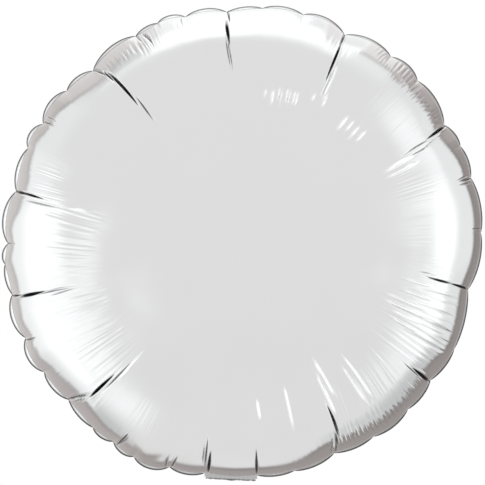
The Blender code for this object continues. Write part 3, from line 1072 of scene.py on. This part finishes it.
def start_material(name, metallic, roughness):
    material = bpy.data.materials.new(name)
    material.use_nodes = True
    tree = material.node_tree
    shader = tree.nodes["Principled BSDF"]
    shader.inputs["Metallic"].default_value = metallic
    shader.inputs["Roughness"].default_value = roughness
    return material, tree, shader


def object_coordinates(tree):
    return tree.nodes.new("ShaderNodeTexCoord").outputs["Object"]


def noise_node(source, scale, detail, dimensions="3D"):
    node = node_after(source, "ShaderNodeTexNoise")
    node.noise_dimensions = dimensions
    link(source, node.inputs["W" if dimensions == "1D" else "Vector"])
    node.inputs["Scale"].default_value = scale
    node.inputs["Detail"].default_value = detail
    return node.outputs["Fac"]


def cloud_node(tree, scale, detail, first, last):
    """Soft clouds on the piece's own coordinates, which go from first to last."""
    noise = noise_node(object_coordinates(tree), scale, detail)
    return step_node(noise, *CLOUD_RANGE, first, last)


def ramp_node(along, stops):
    """A colour that changes evenly between stops, each a place in degrees and a colour."""
    node = node_after(along, "ShaderNodeValToRGB")
    link(along, node.inputs["Fac"])
    elements = node.color_ramp.elements
    elements[0].position = stops[0][0] / 360
    elements[1].position = stops[-1][0] / 360
    for place, _ in stops[1:-1]:
        elements.new(place / 360)
    for element, (_, shade) in zip(elements, stops):
        element.color = (*shade, 1.0)
    return node.outputs["Color"]


def bump_node(height, distance, under=None):
    node = node_after(height, "ShaderNodeBump")
    node.inputs["Strength"].default_value = 1.0
    node.inputs["Distance"].default_value = distance
    link(height, node.inputs["Height"])
    if under is not None:
        link(under, node.inputs["Normal"])
    return node.outputs["Normal"]


def round_coordinates(tree):
    """Sine and cosine of the clock angle, and the radius in metres."""
    axes = tree.nodes.new("ShaderNodeSeparateXYZ")
    link(object_coordinates(tree), axes.inputs[0])
    right, _, up = axes.outputs
    square = math_node("ADD", times(right, right), times(up, up))
    radius = math_node("MAXIMUM", math_node("SQRT", square), 0.001)
    sine = math_node("DIVIDE", right, radius)
    cosine = math_node("DIVIDE", up, radius)
    return sine, cosine, radius


def attribute_node(tree, name):
    node = tree.nodes.new("ShaderNodeAttribute")
    node.attribute_name = name
    return node.outputs["Fac"]


def make_foil(name, roughness):
    """Metallised film: a soft mirror, with painted shade deep in its folds and a painted highlight
    along its ridges.
    """
    material, tree, shader = start_material(name, 1.0, roughness)
    film_with_painted_shade = mix_colours(attribute_node(tree, "painted_shade"), FOIL_COLOUR, PAINTED_SHADE_COLOUR)
    film_with_painted_highlight = mix_colours(attribute_node(tree, "glint_and_painted_highlight"), film_with_painted_shade, PAINTED_HIGHLIGHT_COLOUR)
    link(film_with_painted_highlight, shader.inputs["Base Color"])
    sine, cosine, radius = round_coordinates(tree)
    spokes = tree.nodes.new("ShaderNodeCombineXYZ")
    scaled = ((sine, SPOKES), (cosine, SPOKES), (radius, SPOKE_DRIFT))
    for socket, (value, scale) in zip(spokes.inputs, scaled):
        link(times(value, scale), socket)
    streaks = noise_node(spokes.outputs[0], 1.0, 2.0)
    drawn = step_node(radius, *(share * RIM_RADIUS for share in SPOKE_REACH), 0.0, 1.0)
    radial = bump_node(times(streaks, drawn), SPOKE_HEIGHT)
    grain = noise_node(object_coordinates(tree), FOIL_GRAIN, 2.0)
    link(bump_node(grain, GRAIN_HEIGHT, radial), shader.inputs["Normal"])
    low, high = roughness - ROUGHNESS_SPREAD, roughness + ROUGHNESS_SPREAD
    link(cloud_node(tree, FOIL_CLOUD, 3.0, low, high), shader.inputs["Roughness"])
    return material


def make_weld_foil(name):
    """The welded band: the same film, dulled by the fine cross pattern of the hot bar."""
    material, tree, shader = start_material(name, 1.0, WELD_ROUGHNESS)
    # Painted shade along its lines, and a painted highlight on its strip
    shade = mix_colours(attribute_node(tree, "painted_shade"), WELD_COLOUR, PAINTED_SHADE_COLOUR)
    weld_with_painted_highlight = mix_colours(attribute_node(tree, "glint_and_painted_highlight"), shade, PAINTED_HIGHLIGHT_COLOUR)
    link(weld_with_painted_highlight, shader.inputs["Base Color"])
    sine, cosine, radius = round_coordinates(tree)
    clock = math_node("ARCTAN2", sine, cosine)
    turns = times(clock, 2 * math.pi * RIM_RADIUS / WELD_PITCH)
    steps = times(radius, 2 * math.pi / WELD_PITCH)
    cross = times(math_node("SINE", turns), math_node("SINE", steps))
    pattern = bump_node(cross, WELD_DEPTH)
    cloud = noise_node(object_coordinates(tree), WELD_CLOUD, 2.0)
    link(bump_node(cloud, WELD_DEPTH, pattern), shader.inputs["Normal"])
    return material


def make_clear_film(name):
    """The valve's clear film, a little milky, with faint marks all over."""
    material, tree, shader = start_material(name, 0.0, CLEAR_ROUGHNESS)
    haze = cloud_node(tree, CLEAR_CLOUD, 2.0, 0.0, 1.0)
    link(mix_colours(haze, *CLEAR_COLOURS), shader.inputs["Base Color"])
    link(step_node(haze, 0.0, 1.0, *CLEAR_ALPHAS), shader.inputs["Alpha"])
    marks = noise_node(object_coordinates(tree), DRAW_MARKS, 2.0)
    link(bump_node(marks, DRAW_DEPTH), shader.inputs["Normal"])
    return material


def make_world():
    """The studio as the film sees it, and plain white where the camera looks past it."""
    world = bpy.data.worlds.new("studio")
    bpy.context.scene.world = world
    world.use_nodes = True
    tree = world.node_tree
    direction = tree.nodes.new("ShaderNodeTexCoord").outputs["Generated"]
    axes = tree.nodes.new("ShaderNodeSeparateXYZ")
    link(direction, axes.inputs[0])
    right, away, up = axes.outputs
    towards = times(away, -1.0)
    from_camera = math_node("DEGREES", math_node("ARCCOSINE", towards))
    clock = math_node("DEGREES", math_node("ARCTAN2", right, up))
    uneven = math_node("SUBTRACT", noise_node(direction, UNEVEN_SCALE, 1.0), 0.5)
    leaning = math_node("MULTIPLY_ADD", from_camera, -STREAK_LEAN, clock)
    lines = noise_node(leaning, 1 / STREAK_WIDTH, 1.0, "1D")
    streaks = math_node("SUBTRACT", lines, 0.5)
    uneven = math_node("MULTIPLY_ADD", streaks, STREAK_SHARE, uneven)

    def beside(middle, half, side):
        turned = math_node("SUBTRACT", clock, middle)
        off = math_node("ABSOLUTE", math_node("WRAP", turned, 180.0, -180.0))
        return soft_edge(off, half, side, 1.0, 0.0)

    def add_light(colour, row):
        name, middle, half, side, start, start_soft, end, end_soft, wander, level = row
        inner = math_node("MULTIPLY_ADD", uneven, 2.0 * wander, from_camera)
        begun = soft_edge(inner, start, start_soft, 0.0, 1.0)
        lit = times(beside(middle, half, side), begun)
        if end < 180:
            lit = times(lit, soft_edge(from_camera, end, end_soft, 1.0, 0.0))
        lit.node.label = name
        return mix_colours(lit, colour, tuple(level * tint for tint in LIGHT_TINT))

    def add_curtains(colour):
        along = math_node("DIVIDE", math_node("WRAP", clock, 360.0, 0.0), 360.0)
        edges = [(place, (edge / 180,) * 3) for place, edge in CURTAIN_EDGES]
        cloths = [
            (place, tuple(grey * (1 - tint * (1 - grey)) for tint in CURTAIN_TINT))
            for place, grey in CURTAIN_GREYS
        ]
        edge = times(ramp_node(along, edges), 180.0)
        inside = math_node("SUBTRACT", from_camera, edge)
        shade = soft_edge(inside, EDGE_WIDTH, CURTAIN_SOFT, EDGE_DARKER, 1.0)
        cloth = tree.nodes.new("ShaderNodeVectorMath")
        cloth.operation = "SCALE"
        link(ramp_node(along, cloths), cloth.inputs[0])
        link(shade, cloth.inputs["Scale"])
        first, last = CURTAIN_SPAN
        across = beside((first + last) / 2, (last - first) / 2, CURTAIN_SIDE)
        hung = times(across, soft_edge(inside, 0.0, CURTAIN_SOFT, 0.0, 1.0))
        ended = soft_edge(from_camera, CURTAIN_END, CURTAIN_END_SOFT, 1.0, 0.0)
        return mix_colours(times(hung, ended), colour, cloth.outputs[0])

    colour = (ROOM, ROOM, ROOM)
    for row in LIGHTS:
        colour = add_light(colour, row)
    colour = add_curtains(colour)
    for row in TOP_LIGHTS:
        colour = add_light(colour, row)
    background = tree.nodes["Background"]
    seen = tree.nodes.new("ShaderNodeLightPath").outputs["Is Camera Ray"]
    background.inputs["Strength"].default_value = STUDIO
    link(mix_colours(seen, colour, (1 / STUDIO,) * 3), background.inputs["Color"])


def make_camera():
    data = bpy.data.cameras.new("camera")
    camera = bpy.data.objects.new("camera", data)
    bpy.context.collection.objects.link(camera)
    data.sensor_width = SENSOR
    data.lens = SENSOR * CAMERA_DISTANCE / (IMAGE_SIDE * PIXEL)
    data.clip_end = 20.0
    camera.location = (-CENTRE_RIGHT * PIXEL, -CAMERA_DISTANCE, CENTRE_BELOW * PIXEL)
    camera.rotation_euler = (math.radians(90), 0, 0)
    bpy.context.scene.camera = camera


def make_floor():
    """A plain pale floor below the view, which the film doesn't mirror."""
    deselect_all()
    bpy.ops.mesh.primitive_circle_add(vertices=96, radius=FLOOR_RADIUS, fill_type="NGON")
    floor = bpy.context.object
    floor.name = "floor"
    floor.data.transform(Matrix.Translation((0, 0, -FLOOR_DROP)))
    material, tree, shader = start_material("pale_floor", 0.0, FLOOR_ROUGHNESS)
    cloud = cloud_node(tree, FLOOR_CLOUD, 2.0, 0.0, 1.0)
    link(mix_colours(cloud, *FLOOR_COLOURS), shader.inputs["Base Color"])
    floor.data.materials.append(material)
    floor.visible_glossy = False


def make_balloon():
    foil = make_foil("silver_film", FOIL_ROUGHNESS)
    back_foil = make_foil("silver_film_back", BACK_ROUGHNESS)
    weld = make_weld_foil("welded_film")
    clear = make_clear_film("clear_valve_film")

    front = make_film("front_film", -1, FRONT_FOLDS + gathers(), FRONT_WRINKLES, GLINTS)
    dress(front, foil, "envelope", "silver_foil", "front_panel")
    back = make_film("back_film", 1, *back_shapes())
    dress(back, back_foil, "envelope", "silver_foil_back", "back_panel")

    band = make_weld(
        "rim_band", THROAT_END, THROAT_START, WELD_COLUMNS, leaning_section, band_shades
    )
    dress(band, weld, "envelope", "welded_foil", "rim_weld")
    throat = make_weld(
        "throat_film", THROAT_START, THROAT_END, THROAT_COLUMNS, throat_section, throat_shades
    )
    dress(throat, foil, "envelope", "silver_foil", "throat")

    fold = make_fold("tail_fold_film")
    dress(fold, foil, None, "silver_foil")
    turn, back, up = tail_turn(3), Vector((0, 1, 0)), Vector((0, 0, 1))
    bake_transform(fold)

    for name, side, node in (
        ("tail_front_film", -1, "tail_front_ply"),
        ("tail_back_film", 1, "tail_back_ply"),
    ):
        ply = make_ply(name, side, 2.0 + side)
        dress(ply, foil, "tail", "silver_foil", node)
    for name, side, node in (
        ("tail_seam_left", -1, "tail_weld_left"),
        ("tail_seam_right", 1, "tail_weld_right"),
    ):
        dress(make_tail_seam(name, side), weld, "tail", "welded_foil", node)
    dress(make_valve("valve_film"), clear, "tail", "clear_film", "valve_sleeve")


make_balloon()
make_floor()
make_world()
make_camera()
bpy.context.scene.view_settings.view_transform = "Standard"
